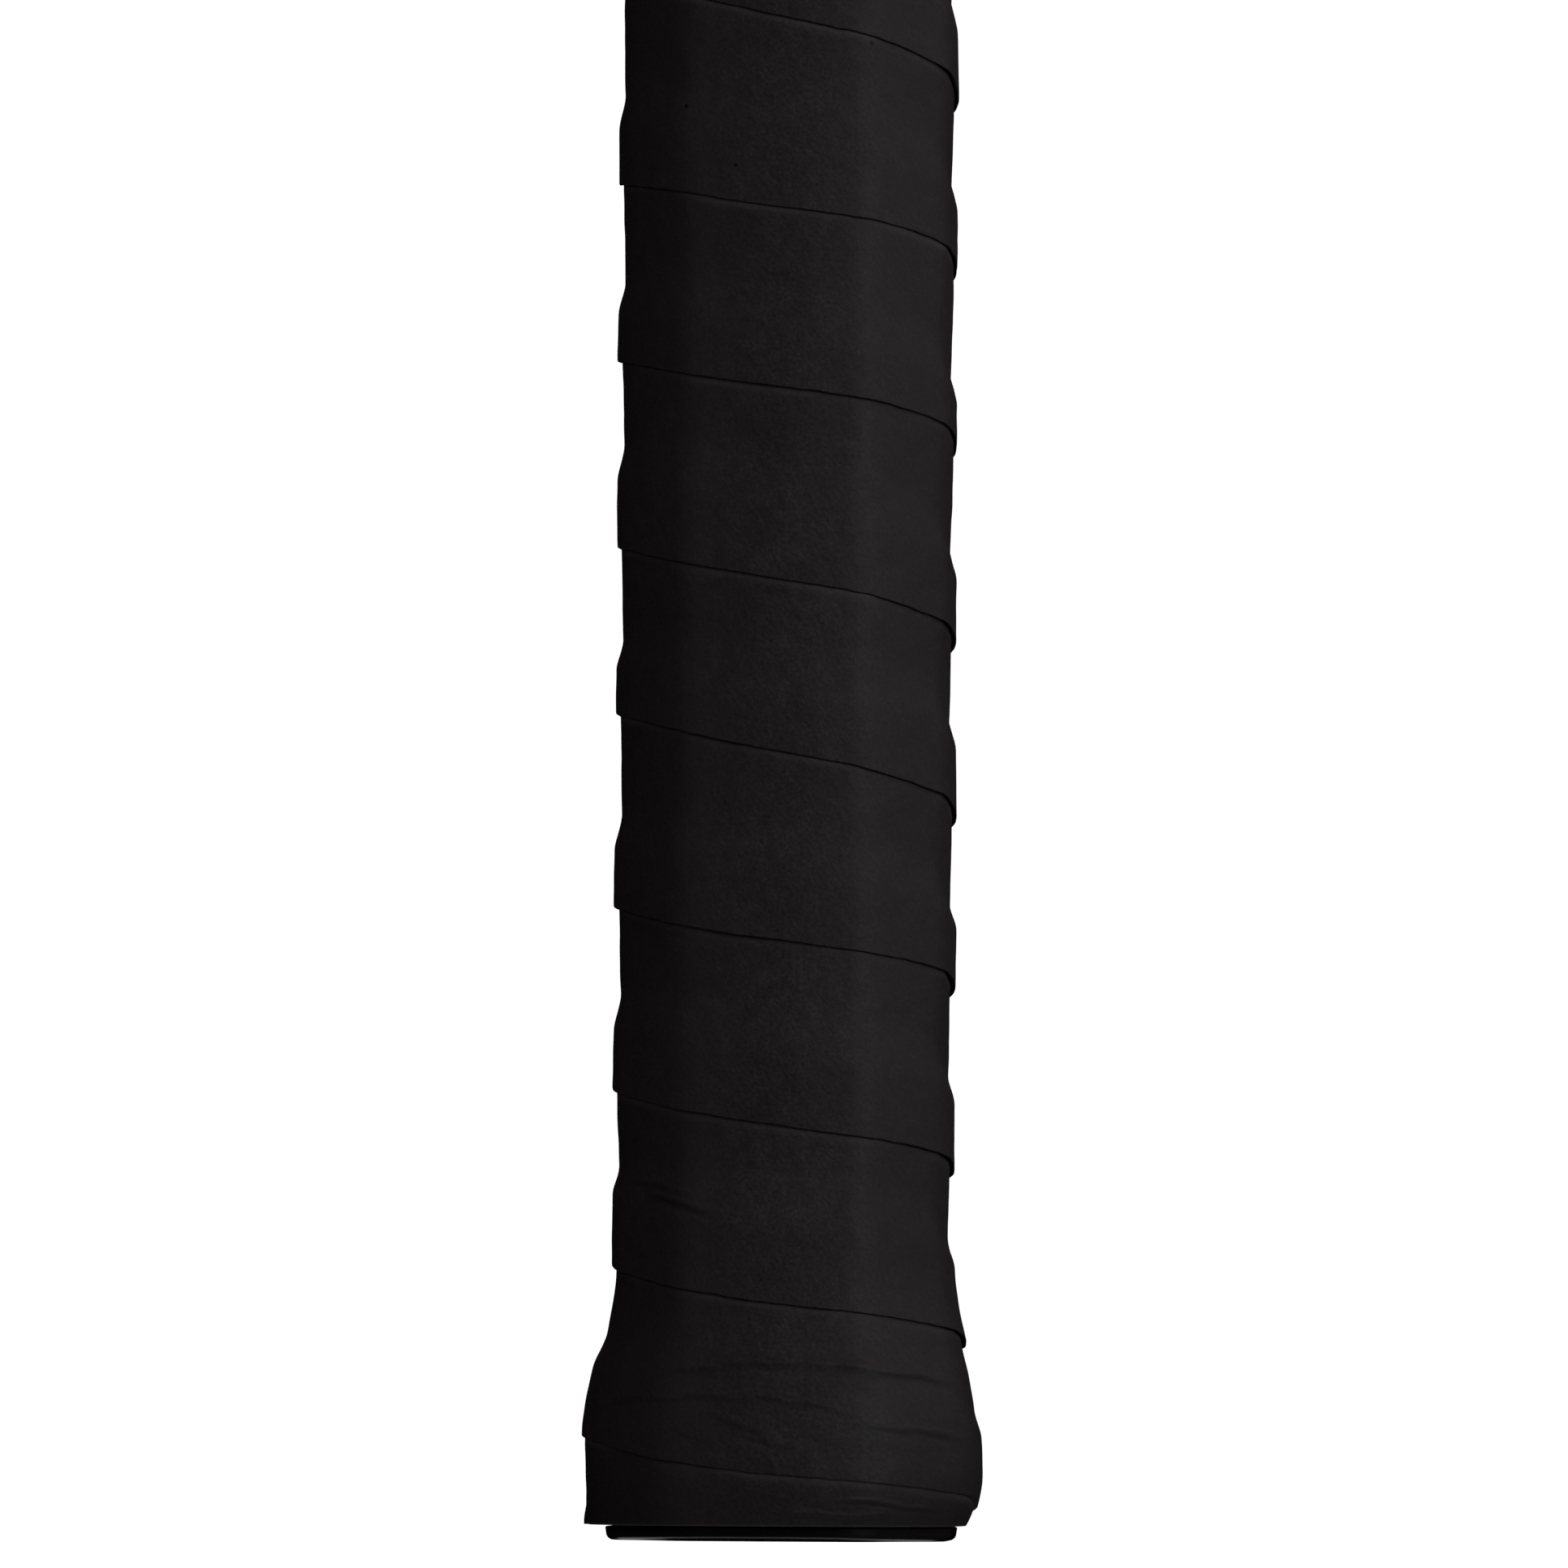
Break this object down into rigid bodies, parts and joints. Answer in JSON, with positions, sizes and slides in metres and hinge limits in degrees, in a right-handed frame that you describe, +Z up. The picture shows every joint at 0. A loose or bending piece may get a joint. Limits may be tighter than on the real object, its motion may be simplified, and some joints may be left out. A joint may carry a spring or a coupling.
{
  "type": "taped racket handle",
  "caption": "Eight-sided racket handle with a flared butt, spirally wound in black overgrip tape, with a hinged butt door and a sliding rubber collar over the tape's top end.",
  "frame": {"origin": "centre of the butt's end plane, on the handle's long axis", "axes": "+Z up the handle from the butt to the racket's head, X along the handle's width, -Y out of the wide front flat"},
  "size_m": [0.043, 0.0373, 0.24],
  "materials": {
    "tape": "black polyurethane tape, fine leathery grain, dry matt",
    "base_grip": "black cushioned synthetic leather, perforated, matt",
    "finish_tape": "black stretchy adhesive tape, low sheen",
    "collar": "black moulded rubber, matt",
    "cap": "black moulded plastic, glossy lip",
    "door": "black moulded plastic, fine texture",
    "badge": "plain satin disc, no mark",
    "foam": "hard polyurethane foam, cream, porous",
    "plug": "soft white foam",
    "carbon": "moulded carbon fibre laminate, clear coated",
    "steel": "bright wire"
  },
  "bodies": {
    "handle": {"shaft_tube_right": "carbon", "shaft_tube_left": "carbon", "tube_plug_right": "plug", "tube_plug_left": "plug", "hairpin_spacer": "foam", "pallet_front": "foam", "pallet_back": "foam", "butt_cap": "cap", "cap_staple_back": "steel", "cap_staple_right": "steel", "cap_staple_front": "steel", "cap_staple_left": "steel", "base_grip": "base_grip", "base_grip_tack": "steel", "base_grip_finish_tape": "finish_tape", "overgrip_tape": "tape", "overgrip_finish_tape": "finish_tape"},
    "butt_door": {"trap_door": "door", "door_badge": "badge"},
    "collar": {"grip_collar": "collar"}
  },
  "joints": [
    {"name": "trap_door_hinge", "type": "hinge", "parent": "handle", "child": "butt_door", "pos_m": [0, 0.0055, 0.0015], "axis": [1, 0, 0], "range_deg": [0, 90]},
    {"name": "collar_slide", "type": "slide", "parent": "handle", "child": "collar", "axis": [0, 0, 1], "range_m": [0, 0.028]}
  ]
}
